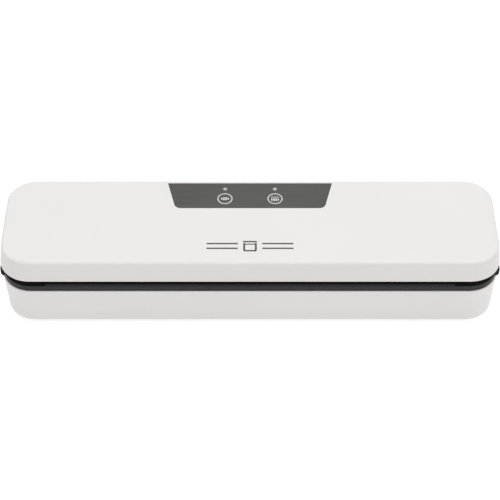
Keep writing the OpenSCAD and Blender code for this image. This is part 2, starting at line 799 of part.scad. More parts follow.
module valve_coil() {
    color([0.75, 0.45, 0.15]) difference() {
        union() {
            rod_z(9.4, 10.6, vent_x, port_y, 8.4);
            rod_z(21, 22.2, vent_x, port_y, 8.4);
            rod_z(10.5, 21.1, vent_x, port_y, 7.4);
        }
        rod_z(9, 23, vent_x, port_y, 2.65);
    }
}

module valve_plunger() {
    color([0.66, 0.66, 0.68]) {
        rod_z(5.7, 20.5, vent_x, port_y, 2.55);
        rod_z(4.4, 5.8, vent_x, port_y, 3.4);
    }
}

module lid_switch() {
    color([0.1, 0.1, 0.11]) {
        difference() {
            block(155, 175, -8.4, -2, 27, 37);
            for (x = [160, 169.5]) rod_y(-9, -1, x, 30, 1.25);
        }
        block(164, 167, -6.4, -4, 36.9, 38.4);
        for (x = [157, 165, 173]) block(x - 0.3, x + 0.3, -6.8, -3.6, 24, 27 + eps);
    }
}

module wiring() {
    heater_right = [[38.5, -24, 13], [38.5, -24, 24], [42, -29.5, 30], [148, -29.5, 31],
        [161, bar_y, 31], [161, bar_y, 36.95]];
    heater_left = [[38.5, -28, 13], [38.5, -28, 20], [28, -29.5, 26], [-148, -29.5, 28],
        [-161, bar_y, 30], [-161, bar_y, 36.95]];
    motor_near = [[38.5, 7.2, 13], [38.5, 7.2, 24], [30, 10, 22], [26, 10, 6], [-106, 10, 6],
        [-112, 10, 6], [-117, 15, 12], [-116, 20, 18], [-111.45, 20, 18]];
    motor_far = [[38.5, 4.8, 13], [38.5, 4.8, 22], [31, 7.6, 20], [26, 7.6, 6], [-112, 7.6, 6],
        [-118, 7.6, 6], [-121, 24, 10], [-119, 32, 18], [-111.45, 32, 18]];
    mains_near = [[115.7, 28.95, 20], [115.7, 26, 20], [110, 20, 21], [98.5, 14, 22],
        [98.5, 14, 13]];
    mains_far = [[124.3, 28.95, 20], [124.3, 25, 20], [116, 17, 19], [98.5, 12, 20.5],
        [98.5, 12, 13]];
    switch_near = [[98.5, 8, 13], [98.5, 8, 22], [108, 2, 26], [150, -5.2, 22],
        [157, -5.2, 18], [157, -5.2, 23.95]];
    switch_far = [[98.5, 10, 13], [98.5, 10, 20], [110, 6, 22], [150, -2.5, 18],
        [165, -5.2, 15], [165, -5.2, 23.95]];
    color([0.6, 0.12, 0.1]) for (path = [heater_right, heater_left, motor_near, motor_far, mains_near,
        mains_far, switch_near, switch_far]) swept_tube(path, wire_r);
}

// ---------- Lid ----------

module lid_shell() {
    inner_l = body_l - 2 * lid_wall;
    inner_w = body_w - 2 * lid_wall;
    inner_r = corner_r - lid_wall;
    over_z = lid_rim_z - 1;
    color([0.93, 0.92, 0.91]) difference() {
        union() {
            difference() {
                loaf(body_l, body_w, corner_r, lid_rim_z, body_h)
                    tub_profile(corner_r, lid_rim_z, body_h, lid_draft, lid_fillet, rim_chamfer);
                loaf(inner_l, inner_w, inner_r, over_z, lid_under_z)
                    tub_profile(inner_r, over_z, lid_under_z, lid_draft, inner_fillet);
            }
            for (p = lid_screw_xy) rod_z(liner_top_z + 0.1, lid_under_z + 1, p.x, p.y, 3.4);
            for (p = board_screw_xy) rod_z(board_top_z, lid_under_z + 1, p.x, p.y, 2.6);
            both_ends() for (x = [90, 150]) block(x, x + 1.4, -40, 40, 62, lid_under_z + 1);
        }
        translate([0, 0, body_h - panel_depth]) linear_extrude(2) panel_outline(0);
        for (x = key_xs) {
            rod_z(60, body_h + 1, x, key_y, key_r + 0.3);
            rod_z(60, body_h + 1, x, lamp_y, lamp_r + 0.05);
        }
        for (p = lid_screw_xy) rod_z(liner_top_z - 1, 66, p.x, p.y, 1.25);
        for (p = board_screw_xy) rod_z(board_top_z - 1, 66, p.x, p.y, 0.9);
    }
}

module lid_liner() {
    groove_l = loop_l + 2 * gasket_fit;
    groove_w = loop_w + 2 * gasket_fit;
    groove_r = loop_r + gasket_fit;
    color([0.22, 0.22, 0.22]) difference() {
        union() {
            slab(liner_l, liner_w, liner_r, liner_z, liner_top_z);
            loop(groove_l + 3, groove_w + 3, groove_r + 1.5, gasket_w + 2 * gasket_fit + 3,
                liner_top_z - 0.5, 56.4, loop_mid_y);
            block(-carrier_l / 2 - 2, carrier_l / 2 + 2, bar_y - slot_w / 2 - 1.6,
                bar_y + slot_w / 2 + 1.6, liner_top_z - 0.5, 56.2);
            difference() {
                open_loop(skirt_ring_l, skirt_ring_w, skirt_ring_low_z, liner_z + 0.5);
                both_ends() block(hinge_x - 15, hinge_x + 15, 35, 48, 45, liner_z);
            }
            // Ribs that keep the bag clear of the chamber's roof
            for (x = [-140 : 20 : 140]) block(x - 0.8, x + 0.8, -20, 12, 51.4, liner_z + 0.5);
            // Hinge knuckles
            both_ends() {
                rod_x(hinge_x - knuckle_w / 2, hinge_x + knuckle_w / 2, hinge_y, hinge_z, hinge_r);
                block(hinge_x - knuckle_w / 2, hinge_x + knuckle_w / 2, hinge_y - 2.9,
                    hinge_y + 0.4, hinge_z, liner_z + 0.5);
            }
        }
        loop(groove_l, groove_w, groove_r, gasket_w + 2 * gasket_fit, 50, 54.6, loop_mid_y);
        block(-carrier_l / 2 - 0.3, carrier_l / 2 + 0.3, bar_y - 4.1, bar_y + 4.1, 50, 54.2);
        for (p = lid_screw_xy) {
            rod_z(50, 60, p.x, p.y, 1.6);
            rod_z(50, liner_z + 1, p.x, p.y, 3.1);
        }
        both_ends() {
            rod_x(hinge_x - 20, hinge_x + 20, hinge_y, hinge_z, pin_r + pin_play);
            block(latch_x - 1.7, latch_x + 1.9, latch_y - 4.7, latch_y + 4.7, 50, 60);
        }
    }
}

module control_panel() {
    color([0.36, 0.36, 0.36])
        translate([0, 0, body_h - panel_depth]) linear_extrude(panel_z - body_h + panel_depth)
            difference() {
                panel_outline(-0.12);
                for (x = key_xs) {
                    translate([x, key_y]) circle(key_r + 0.15);
                    translate([x, lamp_y]) circle(lamp_r + 0.05);
                }
            }
}

module control_board() {
    color([0.1, 0.32, 0.2]) difference() {
        block(-46, 46, 12, 43.5, board_z, board_top_z);
        for (p = board_screw_xy) rod_z(50, 60, p.x, p.y, 1.1);
    }
}

module tact_switches() {
    color([0.15, 0.15, 0.15]) for (x = key_xs) {
        block(x - 3, x + 3, key_y - 3, key_y + 3, board_top_z, 63);
        rod_z(62.9, 63.5, x, key_y, 1.7);
    }
}

module indicator_leds() {
    color([0.85, 0.9, 0.85]) for (x = key_xs) {
        rod_z(board_top_z, 62.4, x, lamp_y, 1.5);
        translate([x, lamp_y, 62.4]) sphere(1.5);
        rod_z(board_top_z, board_top_z + 0.8, x, lamp_y, 1.9);
    }
}

module light_guides() {
    color([0.93, 0.94, 0.95]) for (x = key_xs) {
        rod_z(64.4, panel_z, x, lamp_y, lamp_r);
        rod_z(67, lid_under_z, x, lamp_y, 2.2);
    }
}

module key(x) {
    color([0.37, 0.37, 0.37]) {
        rod_z(67, panel_z, x, key_y, key_r);
        rod_z(66.9, 67.8, x, key_y, key_r + 1.5);
        rod_z(64.2, 67, x, key_y, 1.7);
    }
}

module seal_key() {
    key(key_xs[0]);
}

module vac_seal_key() {
    key(key_xs[1]);
}

module upper_gasket() {
    color([0.13, 0.13, 0.14])
        loop(loop_l, loop_w, loop_r, gasket_w, upper_gasket_low_z, 54.6, loop_mid_y);
}

module press_strip() {
    color([0.5, 0.5, 0.51]) soft_block(-155, 155, bar_y - 3, bar_y + 3, strip_low_z,
        carrier_low_z, 1.2);
}

module press_strip_carrier() {
    color([0.28, 0.28, 0.29]) {
        block(-carrier_l / 2, carrier_l / 2, bar_y - 3.8, bar_y + 3.8, carrier_low_z, 54.2);
    }
}

module latch_hooks() {
    low_z = 41.7;
    color([0.24, 0.24, 0.25]) both_ends() {
        block(latch_x - 1.5, latch_x + 1.7, latch_y - 4.5, latch_y + 4.5, low_z, liner_top_z + 0.5);
        block(latch_x - 6, latch_x + 5.5, latch_y - 8, latch_y + 8, liner_top_z, 57);
        translate([0, latch_y + 4.5, 0]) rotate([90, 0, 0]) linear_extrude(9) polygon([
            [latch_x - 1.4, 42.7], [latch_x - 4.1, 42.7], [latch_x - 4.1, 42.4],
            [latch_x - 3.2, low_z], [latch_x - 1.4, low_z]
        ]);
    }
}

module lid_screws() {
    color([0.62, 0.62, 0.64])
        for (p = lid_screw_xy) screw(p.x, p.y, liner_z - 0.6, 11, 1.25, 2.7, 1.6);
}

module board_screws() {
    color([0.62, 0.62, 0.64])
        for (p = board_screw_xy) screw(p.x, p.y, board_z - 1.3, 6, 0.9, 1.9, 1.3);
}

module lid_harness() {
    path = [[-48, 30, 59], [-52, 31, 59], [-58, 38, 58.4], [-84, 41, 57.4], [-116, 42, 57.4]];
    color([0.1, 0.1, 0.1]) {
        swept_tube(path, 1.5);
        block(-122, -113.8, 39.6, 44.2, liner_top_z, 59.4);
        block(-50.5, -46.1, 26, 34, 57, 61);
    }
}

base_shell();
deck();
channel_pan();
drip_tray();
lower_gasket();
heater_bar();
heating_element();
seal_tape();
heater_terminals();
hinge_pins();
feet();
base_screws();
latch_guides();
inlet_housing();
inlet_pins();
power_board();
transformer();
relay();
capacitors();
board_connectors();
pump_motor();
pump_bracket();
pump_crankcase();
pump_diaphragm();
pump_cover();
pump_rotor();
vacuum_ports();
vacuum_hose();
exhaust_muffler();
valve_body();
valve_frame();
valve_coil();
valve_plunger();
lid_switch();
wiring();
mirror([1, 0, 0]) release_button();  // left_release_button
release_button();  // right_release_button
mirror([1, 0, 0]) latch_catch();  // left_latch_catch
latch_catch();  // right_latch_catch
mirror([1, 0, 0]) latch_spring();  // left_latch_spring
latch_spring();  // right_latch_spring
lid_shell();
lid_liner();
control_panel();
control_board();
tact_switches();
indicator_leds();
light_guides();
seal_key();
vac_seal_key();
upper_gasket();
press_strip();
press_strip_carrier();
latch_hooks();
lid_screws();
board_screws();
lid_harness();
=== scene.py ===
"""Compact bag vacuum sealer: finishes, soft parts, printed marks and studio round the frame."""
import json
import math

import bmesh
import bpy
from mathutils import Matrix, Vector


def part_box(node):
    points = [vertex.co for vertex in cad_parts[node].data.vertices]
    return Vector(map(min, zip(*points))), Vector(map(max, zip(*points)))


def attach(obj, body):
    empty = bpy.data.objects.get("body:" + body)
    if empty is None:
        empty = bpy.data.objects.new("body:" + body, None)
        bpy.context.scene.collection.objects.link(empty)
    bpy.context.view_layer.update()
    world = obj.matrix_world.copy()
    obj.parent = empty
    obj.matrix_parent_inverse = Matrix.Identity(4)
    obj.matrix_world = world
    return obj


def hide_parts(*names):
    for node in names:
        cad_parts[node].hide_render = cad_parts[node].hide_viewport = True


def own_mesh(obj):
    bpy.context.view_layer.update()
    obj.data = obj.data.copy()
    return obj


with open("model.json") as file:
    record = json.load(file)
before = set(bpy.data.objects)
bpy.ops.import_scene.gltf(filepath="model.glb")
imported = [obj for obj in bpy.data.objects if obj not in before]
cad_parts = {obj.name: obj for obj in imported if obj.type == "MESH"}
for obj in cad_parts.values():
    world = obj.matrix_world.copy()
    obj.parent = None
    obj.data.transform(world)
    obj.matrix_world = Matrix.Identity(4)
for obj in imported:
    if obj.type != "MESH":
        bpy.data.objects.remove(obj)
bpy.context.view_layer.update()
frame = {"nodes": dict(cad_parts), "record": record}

MM = 0.001

# Foam gaskets, in metres
GASKET_WIDTH = 0.006
LOOP_CORNER = 0.012
LOOP_STEP = 0.003
CORNER_STEPS = 14
CROWN_STEPS = 12

# Press strip
GROOVE_DEPTH = 0.00009
GROOVES = 7
STRIP_STEPS = 12

# Seal tape: hem below the bar's top, thickness, flat width, air under it, and step along it
TAPE_DROP = 0.0042
TAPE_THICK = 0.00013
TAPE_AIR = 0.00006
TAPE_STEP = 0.0025

# Latch springs
SPRING_WIRE = 0.0007
SPRING_TURNS = 6
SPRING_STEPS = 24
SPRING_SIDES = 12
SPRING_END_PITCH = 0.00095

# Printed marks: clearance and thickness in metres, the rest in millimetres
INK_LIFT = 0.000004
INK_THICK = 0.00004
KEY_RING = (6.15, 5.3)
LAMP_RING = (1.75, 1.47)
MARK_Y = -28.4

# Bars on each key, row by row: offset in Y, pitch, bar width and the bars' heights
KEY_ROWS = {
    "seal_key": (
        (0.0, 1.75, 1.15, (2.4, 3.4, 3.4, 2.4)),
    ),
    "vac_seal_key": (
        (1.9, 2.3, 1.7, (0.9, 0.9, 0.9)),
        (-1.1, 1.75, 1.15, (2.4, 3.4, 3.4, 2.4)),
    ),
}

# Camera in millimetres and metres, studio in metres and watts
CAMERA_LENS = 110.6
SENSOR_WIDTH = 36
CAMERA_DISTANCE = 1.259
CAMERA_ELEVATION = math.radians(46)
CAMERA_AIM = Vector((0, 0, 0.0365))
FLOOR_HALF = 6
FLOOR_GLOW = 0.56
WORLD_GLOW = 0.55
LIGHT_AIM = Vector((0, 0, 0.03))
LIGHTS = (
    ("top_box", (0.0, 0.15, 1.5), (1.6, 1.1), 16.5),
    ("front_box", (-0.5, -1.7, 0.8), (1.4, 0.8), 2.6),
    ("right_box", (1.6, -0.5, 0.9), (1.0, 0.8), 3.4),
)


# ---------- Materials ----------

def new_material(name):
    """A node material: (material, its Principled shader, node maker, linker)."""
    material = bpy.data.materials.new(name)
    material.use_nodes = True
    nodes, links = material.node_tree.nodes, material.node_tree.links
    shader = nodes["Principled BSDF"]

    def make(kind, **values):
        node = nodes.new(kind)
        for key, value in values.items():
            if key in node.inputs:
                node.inputs[key].default_value = value
            else:
                setattr(node, key, value)
        return node

    return material, shader, make, links.new


def position(make, link, stretch=(1, 1, 1)):
    """The point on the piece in metres, stretched along its axes."""
    coord = make("ShaderNodeTexCoord")
    mapping = make("ShaderNodeMapping")
    mapping.inputs["Scale"].default_value = stretch
    link(coord.outputs["Object"], mapping.inputs["Vector"])
    return mapping.outputs["Vector"]


def noise_at(make, link, where, scale, detail=2.0, rough=0.5):
    """Noise of a given scale, from 0 to 1."""
    node = make("ShaderNodeTexNoise", Scale=scale, Detail=detail, Roughness=rough)
    link(where, node.inputs["Vector"])
    return node.outputs["Fac"]


def ramp(make, link, fac, low, high, start=0.3, end=0.7):
    """Blends between two colours as fac goes from start to end."""
    node = make("ShaderNodeValToRGB")
    node.color_ramp.elements[0].position = start
    node.color_ramp.elements[1].position = end
    node.color_ramp.elements[0].color = (*low, 1)
    node.color_ramp.elements[1].color = (*high, 1)
    link(fac, node.inputs["Fac"])
    return node.outputs["Color"]


def spread(make, link, fac, low, high):
    """Maps 0..1 to low..high."""
    node = make("ShaderNodeMapRange")
    node.inputs["To Min"].default_value = low
    node.inputs["To Max"].default_value = high
    link(fac, node.inputs["Value"])
    return node.outputs["Result"]


def bump(make, link, shader, height, depth, strength=1.0, under=None):
    """Bump of a height 0..1 that stands depth metres tall."""
    node = make("ShaderNodeBump", Strength=strength, Distance=depth)
    link(height, node.inputs["Height"])
    if under is not None:
        link(under, node.inputs["Normal"])
    link(node.outputs["Normal"], shader.inputs["Normal"])
    return node.outputs["Normal"]


def shade(color, factor):
    """A colour made darker or lighter by a factor."""
    return tuple(min(1.0, c * factor) for c in color)


def moulded(name, color, rough, grain=2600, depth=0.00002, mottle=0.03, coat=0.0, shine=0.5):
    """Moulded plastic: spark-eroded grain, faint flow mottling and uneven gloss."""
    material, shader, make, link = new_material(name)
    where = position(make, link)
    cloud = noise_at(make, link, where, 14, 3.0)
    link(ramp(make, link, cloud, shade(color, 1 - mottle), shade(color, 1 + mottle)),
         shader.inputs["Base Color"])
    speck = noise_at(make, link, where, grain, 3.0, 0.6)
    scuff = noise_at(make, link, where, 120, 5.0, 0.7)
    link(spread(make, link, scuff, rough - 0.05, rough + 0.07), shader.inputs["Roughness"])
    bump(make, link, shader, speck, depth)
    shader.inputs["Specular IOR Level"].default_value = shine
    shader.inputs["Coat Weight"].default_value = coat
    shader.inputs["Coat Roughness"].default_value = 0.15
    return material


def brushed(name, color, rough, metal, stretch, depth=0.000012, contrast=0.08):
    """Metal or film with fine lines and cloudy tone: a large stretch value crosses the lines."""
    material, shader, make, link = new_material(name)
    where = position(make, link, stretch)
    lines = noise_at(make, link, where, 60, 6.0, 0.75)
    cloud = noise_at(make, link, position(make, link), 9, 1.0)
    half_cloud = make("ShaderNodeMath", operation="MULTIPLY")
    half_cloud.inputs[1].default_value = 0.5
    link(cloud, half_cloud.inputs[0])
    tone = make("ShaderNodeMath", operation="MULTIPLY_ADD")
    tone.inputs[1].default_value = 0.5
    link(lines, tone.inputs[0])
    link(half_cloud.outputs[0], tone.inputs[2])
    link(ramp(make, link, tone.outputs[0], shade(color, 1 - contrast), shade(color, 1 + contrast),
              0.4, 0.6), shader.inputs["Base Color"])
    link(spread(make, link, lines, rough - 0.06, rough + 0.1), shader.inputs["Roughness"])
    bump(make, link, shader, lines, depth)
    shader.inputs["Metallic"].default_value = metal
    return material


def foam(name, color):
    """Closed-cell foam: cut cells, soft skin and slight dust."""
    material, shader, make, link = new_material(name)
    where = position(make, link)
    cells = make("ShaderNodeTexVoronoi", Scale=1900)
    link(where, cells.inputs["Vector"])
    dust = noise_at(make, link, where, 260, 4.0, 0.7)
    link(ramp(make, link, dust, shade(color, 0.75), shade(color, 1.6), 0.35, 0.8),
         shader.inputs["Base Color"])
    under = bump(make, link, shader, noise_at(make, link, where, 500, 3.0), 0.00016)
    bump(make, link, shader, cells.outputs["Distance"], 0.00022, 0.9, under)
    link(spread(make, link, dust, 0.86, 0.97), shader.inputs["Roughness"])
    shader.inputs["Sheen Weight"].default_value = 0.25
    shader.inputs["Sheen Roughness"].default_value = 0.6
    return material


def rubbery(name, color, rough, soft=0.0):
    """Rubber or silicone: mould sheen with fine bloom."""
    material, shader, make, link = new_material(name)
    where = position(make, link)
    bloom = noise_at(make, link, where, 340, 5.0, 0.65)
    link(ramp(make, link, bloom, shade(color, 0.88), shade(color, 1.12)), shader.inputs["Base Color"])
    link(spread(make, link, bloom, rough - 0.08, rough + 0.1), shader.inputs["Roughness"])
    bump(make, link, shader, bloom, 0.00003)
    shader.inputs["Subsurface Weight"].default_value = soft
    shader.inputs["Subsurface Scale"].default_value = 0.002
    return material


def woven(name, color, pitch):
    """Coated glass cloth: a plain weave of fine threads under a smooth film."""
    material, shader, make, link = new_material(name)
    where = position(make, link)
    waves = []
    for axis in ("X", "Y"):
        wave = make("ShaderNodeTexWave", Scale=math.pi / 10 / pitch, Distortion=0.4)
        wave.bands_direction = axis
        link(where, wave.inputs["Vector"])
        waves.append(wave.outputs["Fac"])
    cross = make("ShaderNodeMath", operation="MULTIPLY")
    link(waves[0], cross.inputs[0])
    link(waves[1], cross.inputs[1])
    stain = noise_at(make, link, where, 45, 4.0)
    link(ramp(make, link, stain, shade(color, 0.8), shade(color, 1.15)), shader.inputs["Base Color"])
    link(spread(make, link, cross.outputs[0], 0.34, 0.5), shader.inputs["Roughness"])
    bump(make, link, shader, cross.outputs[0], 0.00005)
    return material


def circuit(name, color):
    """Circuit board: solder mask over copper tracks."""
    material, shader, make, link = new_material(name)
    where = position(make, link)
    tracks = make("ShaderNodeTexBrick", Scale=120, offset=0.37)
    tracks.inputs["Mortar Size"].default_value = 0.03
    tracks.inputs["Color1"].default_value = (*shade(color, 0.85), 1)
    tracks.inputs["Color2"].default_value = (*color, 1)
    tracks.inputs["Mortar"].default_value = (*shade(color, 1.9), 1)
    link(where, tracks.inputs["Vector"])
    link(tracks.outputs["Color"], shader.inputs["Base Color"])
    bump(make, link, shader, tracks.outputs["Fac"], 0.00005)
    link(spread(make, link, noise_at(make, link, where, 200), 0.25, 0.4), shader.inputs["Roughness"])
    return material


def wound(name, color, pitch, metal):
    """A winding: close turns of enamelled wire or tape."""
    material, shader, make, link = new_material(name)
    where = position(make, link)
    turns = make("ShaderNodeTexWave", Scale=math.pi / 10 / pitch, Distortion=0.2)
    turns.bands_direction = "Z"
    link(where, turns.inputs["Vector"])
    link(ramp(make, link, turns.outputs["Fac"], shade(color, 0.55), shade(color, 1.2), 0.1, 0.8),
         shader.inputs["Base Color"])
    link(spread(make, link, noise_at(make, link, where, 300), 0.3, 0.5), shader.inputs["Roughness"])
    bump(make, link, shader, turns.outputs["Fac"], 0.00015)
    shader.inputs["Metallic"].default_value = metal
    return material


def printed(name, color):
    """Screen-printed ink with a faint ragged density."""
    material, shader, make, link = new_material(name)
    where = position(make, link)
    ink = noise_at(make, link, where, 900, 4.0)
    link(ramp(make, link, ink, shade(color, 0.9), shade(color, 1.08)), shader.inputs["Base Color"])
    link(spread(make, link, ink, 0.4, 0.55), shader.inputs["Roughness"])
    return material


FINISHES = {
    "shell_white": moulded("shell_white", (0.684, 0.664, 0.658), 0.42, mottle=0.012),
    "lid_white": moulded("lid_white", (0.684, 0.672, 0.661), 0.55, mottle=0.008),
    "deck_plastic": moulded("deck_plastic", (0.02, 0.02, 0.021), 0.5, 1500, 0.00006, 0.12, shine=0.2),
    "tray_plastic": moulded("tray_plastic", (0.11, 0.112, 0.118), 0.3, 2000, 0.00002, 0.08, 0.3),
    "dark_plastic": moulded("dark_plastic", (0.034, 0.034, 0.035), 0.48, 1800, 0.00005, 0.1, shine=0.3),
    "button_black": moulded("button_black", (0.006, 0.006, 0.007), 0.4, 2400, 0.00002, 0.15, shine=0.15),
    "inlet_plastic": moulded("inlet_plastic", (0.016, 0.016, 0.017), 0.45, 1700, 0.00004, 0.1),
    "panel_film": brushed("panel_film", (0.084, 0.083, 0.082), 0.42, 0.35, (0.12, 9, 9),
                          contrast=0.16),
    "key_film": brushed("key_film", (0.08, 0.079, 0.078), 0.46, 0.3, (0.12, 9, 9)),
    "gasket_foam": foam("gasket_foam", (0.018, 0.018, 0.02)),
    "silicone": rubbery("silicone", (0.2, 0.2, 0.21), 0.5, 0.1),
    "black_rubber": rubbery("black_rubber", (0.014, 0.014, 0.015), 0.7),
    "hose_rubber": rubbery("hose_rubber", (0.42, 0.42, 0.4), 0.35, 0.2),
    "bar_phenolic": moulded("bar_phenolic", (0.055, 0.03, 0.018), 0.4, 900, 0.00004, 0.2),
    "element_wire": brushed("element_wire", (0.56, 0.53, 0.5), 0.32, 1.0, (0.1, 8, 8)),
    "seal_fabric": woven("seal_fabric", (0.3, 0.17, 0.07), 0.0006),
    "plated_steel": brushed("plated_steel", (0.6, 0.6, 0.62), 0.34, 1.0, (1, 6, 1)),
    "bright_steel": brushed("bright_steel", (0.66, 0.66, 0.67), 0.22, 1.0, (8, 1, 1), 0.000006),
    "brass": brushed("brass", (0.72, 0.53, 0.22), 0.3, 1.0, (1, 5, 1)),
    "board_green": circuit("board_green", (0.012, 0.07, 0.03)),
    "core_steel": wound("core_steel", (0.09, 0.08, 0.06), 0.0009, 0.2),
    "relay_blue": moulded("relay_blue", (0.012, 0.05, 0.24), 0.25, 1800, 0.00002, 0.06, 0.3),
    "can_sleeve": moulded("can_sleeve", (0.014, 0.016, 0.045), 0.22, 900, 0.00001, 0.1, 0.4),
    "connector_nylon": moulded("connector_nylon", (0.68, 0.64, 0.54), 0.38, 1500, 0.00003, 0.05),
    "pump_nylon": moulded("pump_nylon", (0.6, 0.58, 0.52), 0.45, 1300, 0.00005, 0.06),
    "coil_copper": wound("coil_copper", (0.5, 0.17, 0.05), 0.0006, 0.7),
    "wire_sleeve": moulded("wire_sleeve", (0.4, 0.012, 0.01), 0.35, 1500, 0.00002, 0.08),
    "harness_sleeve": moulded("harness_sleeve", (0.012, 0.012, 0.013), 0.55, 900, 0.00008, 0.15),
    "lamp_lens": moulded("lamp_lens", (0.42, 0.44, 0.42), 0.25, 1500, 0.00001, 0.05, 0.4),
    "light_print": printed("light_print", (0.62, 0.615, 0.6)),
    "lamp_print": printed("lamp_print", (0.36, 0.365, 0.35)),
    "dark_print": printed("dark_print", (0.075, 0.075, 0.078)),
}
CAD_SLOTS = {row["node"]: row["material_slot"] for row in frame["record"]["subparts"]}
for node, piece in frame["nodes"].items():
    piece.data.materials.clear()
    piece.data.materials.append(FINISHES[CAD_SLOTS[node]])


# ---------- Making and placing pieces ----------

def add_piece(name, data, body, finish):
    """Links new geometry as a piece on a body, with its finish."""
    piece = bpy.data.objects.new(name, data)
    bpy.context.scene.collection.objects.link(piece)
    data.materials.append(FINISHES[finish])
    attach(piece, body)
    return piece


def mesh_of(name, verts, faces, smooth=True):
    """Mesh from points and faces, with every face turned outwards."""
    data = bpy.data.meshes.new(name)
    data.from_pydata([tuple(v) for v in verts], [], faces)
    form = bmesh.new()
    form.from_mesh(data)
    bmesh.ops.recalc_face_normals(form, faces=form.faces)
    form.to_mesh(data)
    form.free()
    data.polygons.foreach_set("use_smooth", [smooth] * len(data.polygons))
    return data


def swept(name, rings, closed_path=False):
    """Mesh through rings of the same number of points, capped unless the path is closed."""
    sides, count = len(rings[0]), len(rings)
    faces = []
    for i in range(count if closed_path else count - 1):
        a, b = i * sides, (i + 1) % count * sides
        faces += [(a + j, a + (j + 1) % sides, b + (j + 1) % sides, b + j) for j in range(sides)]
    if not closed_path:
        faces += [tuple(range(sides))[::-1], tuple((count - 1) * sides + j for j in range(sides))]
    return mesh_of(name, [p for ring in rings for p in ring], faces)


# ---------- Foam gaskets and silicone press strip ----------

def corner_path(node, inset):
    """Points and outward directions round the middle line of a rounded-rectangle loop node."""
    low, high = (Vector(v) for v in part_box(node))
    middle, half = (low + high) / 2, (high - low) / 2 - Vector((inset, inset, 0))
    radius, points = LOOP_CORNER - inset, []
    straight_x, straight_y = half.x - radius, half.y - radius
    for quarter, (sx, sy) in enumerate(((1, 1), (-1, 1), (-1, -1), (1, -1))):
        centre = Vector((middle.x + sx * straight_x, middle.y + sy * straight_y, 0))
        for step in range(CORNER_STEPS + 1):
            angle = math.pi / 2 * (quarter + step / CORNER_STEPS)
            out = Vector((math.cos(angle), math.sin(angle), 0))
            points.append((centre + out * radius, out))
    return points


def filled_in(points, gap):
    """The same closed path with extra points wherever two are further apart than the gap."""
    result = []
    for (here, out), (there, out_next) in zip(points, points[1:] + points[:1]):
        parts = max(1, round((there - here).length / gap))
        for i in range(parts):
            t = i / parts
            result.append((here.lerp(there, t), out.lerp(out_next, t).normalized()))
    return result


def foam_gasket(name, node, body, face_up):
    """Closed-cell foam loop: crowned sealing face, pinched sides and a slightly uneven height."""
    low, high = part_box(node)
    base, tip = (low[2], high[2]) if face_up else (high[2], low[2])
    rise, half = tip - base, GASKET_WIDTH / 2
    outline = [(-half * 0.96, 0), (-half * 0.93, 0.35), (-half, 0.62)]
    for step in range(1, CROWN_STEPS):
        angle = math.pi * (1 - step / CROWN_STEPS)
        outline.append((half * math.cos(angle) * 0.98, 0.7 + 0.3 * math.sin(angle)))
    outline += [(half, 0.62), (half * 0.93, 0.35), (half * 0.96, 0)]
    rings = []
    for index, (point, out) in enumerate(filled_in(corner_path(node, half), LOOP_STEP)):
        swell = 1 + 0.006 * math.sin(index * 0.73) + 0.005 * math.sin(index * 0.29 + 1)
        settle = 0.985 + 0.004 * math.sin(index * 0.41)
        ring = []
        for across, up in outline:
            height = base + rise * up * (1 if up < 0.6 else settle)
            ring.append(point + out * across * swell + Vector((0, 0, height)))
        rings.append(ring)
    data = swept(name, rings, closed_path=True)
    piece = add_piece(name, data, body, "gasket_foam")
    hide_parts(node)


def bar_between(name, node, outline_at, body, finish, gap=0.004):
    """Bar along X through a node's box, whose YZ outline is given for each place along it."""
    low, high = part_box(node)
    count = round((high[0] - low[0]) / gap)
    rings = []
    for i in range(count + 1):
        x = low[0] + (high[0] - low[0]) * i / count
        rings.append([Vector((x, y, z)) for y, z in outline_at(i / count)])
    return add_piece(name, swept(name, rings), body, finish)


def press_strip():
    """Silicone strip: a domed pressing face with fine grooves, its back held in the carrier."""
    low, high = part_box("press_strip")
    middle, half, tall = (low[1] + high[1]) / 2, (high[1] - low[1]) / 2, high[2] - low[2]

    def outline_at(t):
        shrink = 0.94 if t in (0, 1) else 1
        points = [(middle - half, high[2]), (middle - half, high[2] - tall * 0.45)]
        for step in range(-STRIP_STEPS, STRIP_STEPS + 1):
            across = step / STRIP_STEPS
            dome = math.sqrt(max(0, 1 - (across * 0.98) ** 2))
            groove = GROOVE_DEPTH * (math.cos(across * math.pi * GROOVES) - 1)
            points.append((middle + half * across * 0.97,
                           low[2] + tall * 0.42 * (1 - dome) - groove * dome))
        points += [(middle + half, high[2] - tall * 0.45), (middle + half, high[2])]
        return [(middle + (y - middle) * shrink, z) for y, z in points]

    piece = bar_between("press_strip_soft", "press_strip", outline_at, "lid",
                        "silicone")
    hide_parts("press_strip")


def seal_tape():
    """Coated glass cloth laid over the heating element and down both sides of the bar."""
    bar_low, bar_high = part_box("heater_bar")
    middle, half = (bar_low[1] + bar_high[1]) / 2, (bar_high[1] - bar_low[1]) / 2
    hem = bar_high[2] - TAPE_DROP
    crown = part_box("heating_element")[1][2] + 0.00002

    def outline_at(t):
        ripple = abs(0.00003 * math.sin(t * 61) + 0.00002 * math.sin(t * 149 + 2))
        side, top = -half - TAPE_AIR, bar_high[2]
        line = [(side, hem), (side - ripple, top - 0.0014), (-half + 0.0001, top - 0.0002),
                (-half + 0.0007, top + 0.00004), (-0.0020, top + 0.00005 + ripple),
                (-0.0014, crown + 0.00002), (0, crown + 0.00004 + ripple)]
        line += [(-y, z) for y, z in line[5::-1]]
        outer = []
        for i, (y, z) in enumerate(line):
            before, after = line[max(i - 1, 0)], line[min(i + 1, len(line) - 1)]
            normal = Vector((-(after[1] - before[1]), after[0] - before[0])).normalized()
            outer.append((y + normal.x * TAPE_THICK, z + normal.y * TAPE_THICK))
        return [(middle + y, z) for y, z in line + outer[::-1]]

    piece = bar_between("seal_tape_cloth", "seal_tape", outline_at, "base", "seal_fabric",
                        TAPE_STEP)
    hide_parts("seal_tape")


# ---------- Latch springs ----------

